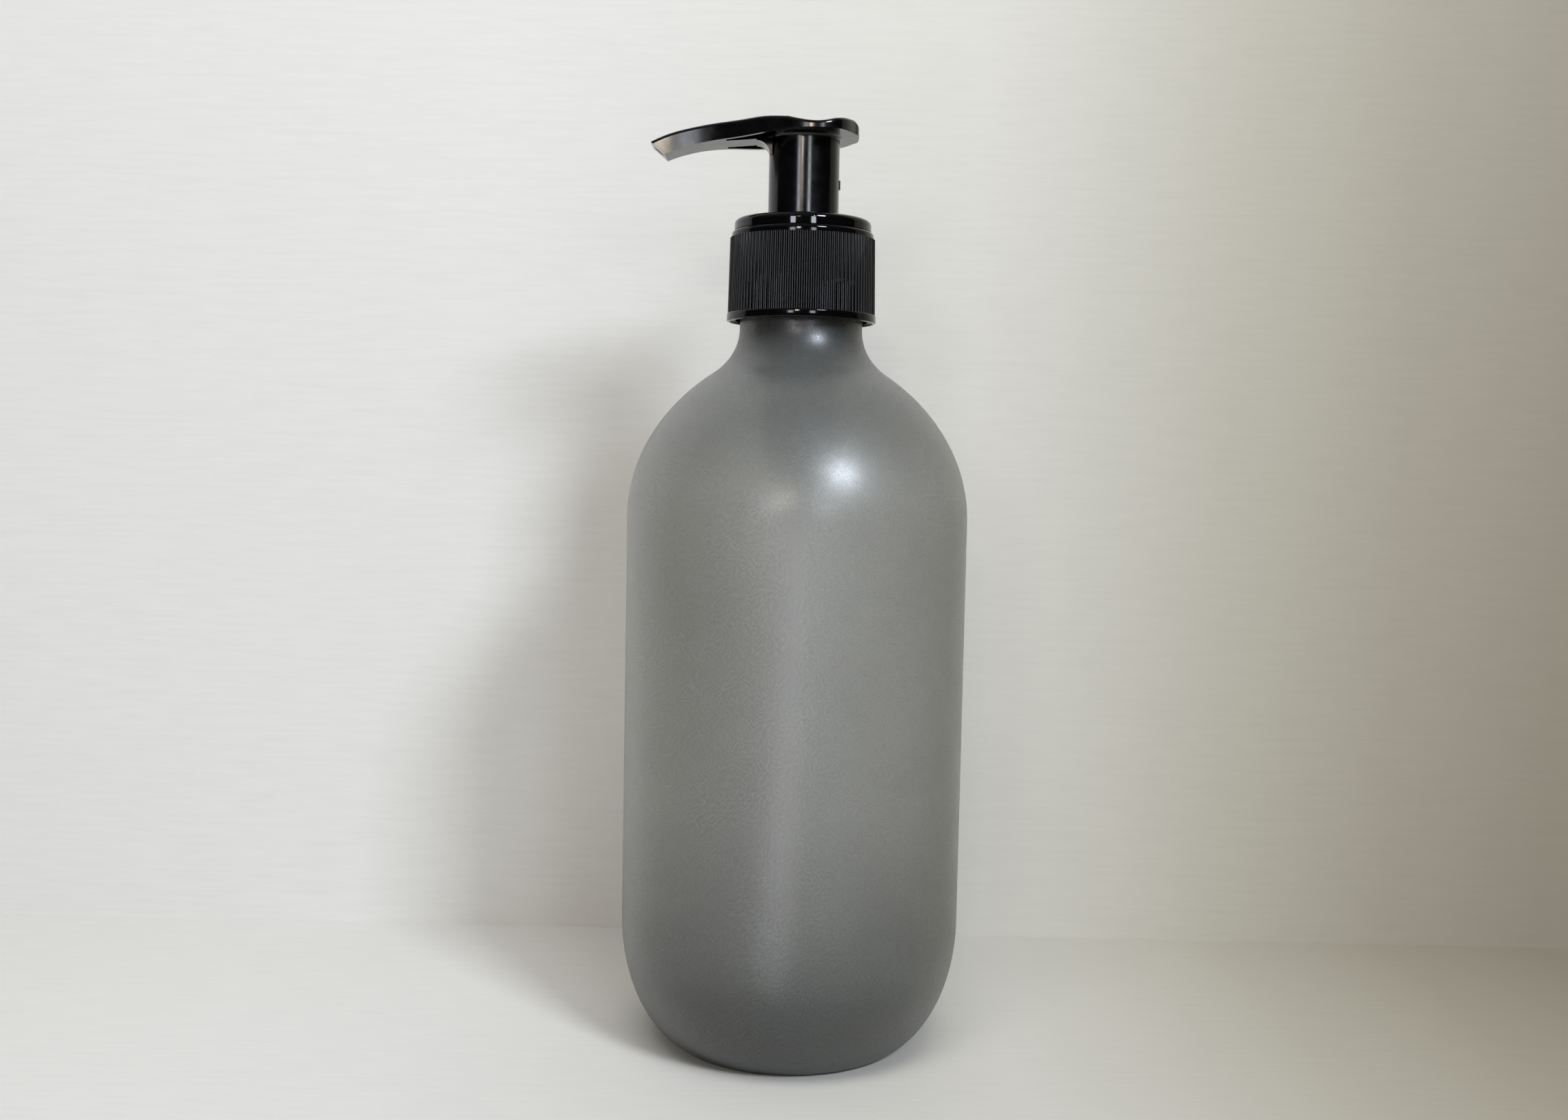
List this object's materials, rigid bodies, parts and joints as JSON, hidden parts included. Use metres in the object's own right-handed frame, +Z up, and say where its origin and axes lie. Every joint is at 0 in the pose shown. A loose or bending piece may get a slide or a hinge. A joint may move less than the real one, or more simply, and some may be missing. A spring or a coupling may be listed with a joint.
{
  "type": "pump bottle",
  "caption": "Frosted round bottle for massage oil with a screw-on lotion pump: ribbed closure, locking collar, spring-return plunger and swivelling spout.",
  "frame": {"origin": "centre of the foot, on the bottle's axis, in the plane it stands on", "axes": "+Z up along the bottle's axis, nozzle towards -X"},
  "size_m": [0.073, 0.073, 0.1972],
  "materials": {
    "frosted_bottle": "frosted translucent smoky grey PET, stretch-blown",
    "black_gloss": "glossy black polypropylene, injection moulded",
    "natural_plastic": "natural polypropylene, moulded",
    "dip_tube": "natural polyethylene, extruded",
    "gasket": "white foamed polyethylene",
    "white_piston": "white low-density polyethylene",
    "inlet_ball": "soda-lime glass ball, ground",
    "spring_steel": "stainless spring wire"
  },
  "bodies": {
    "bottle": {"bottle": "frosted_bottle"},
    "pump_core": {"housing": "natural_plastic", "gasket": "gasket", "dip_tube": "dip_tube", "lock_collar": "black_gloss", "spring": "spring_steel"},
    "closure": {"closure": "black_gloss"},
    "plunger": {"stem": "natural_plastic", "piston_seat": "natural_plastic"},
    "head": {"actuator": "black_gloss"},
    "piston": {"piston": "white_piston"},
    "ball": {"inlet_ball": "inlet_ball"}
  },
  "joints": [
    {"name": "pump_lift", "type": "slide", "parent": "bottle", "child": "pump_core", "axis": [0, 0, 1], "range_m": [0, 0.01057]},
    {"name": "closure_turn", "type": "hinge", "parent": "pump_core", "child": "closure", "pos_m": [0, 0, 0.165], "axis": [0, 0, 1], "range_deg": [0, 900]},
    {"name": "pump_stroke", "type": "slide", "parent": "pump_core", "child": "plunger", "axis": [0, 0, -1], "range_m": [0, 0.013], "stiffness_N_per_m": 800, "springref_m": -0.005, "deforming": ["spring"]},
    {"name": "head_swivel", "type": "hinge", "parent": "plunger", "child": "head", "pos_m": [0, 0, 0.185], "axis": [0, 0, 1], "continuous": true},
    {"name": "piston_float", "type": "slide", "parent": "plunger", "child": "piston", "axis": [0, 0, 1], "range_m": [0, 0.0012]},
    {"name": "ball_lift", "type": "slide", "parent": "pump_core", "child": "ball", "axis": [0, 0, 1], "range_m": [0, 0.0012]}
  ],
  "couplings": [
    {"joint": "closure_turn", "follows": "pump_lift", "rad_per_m": 1485.4}
  ]
}
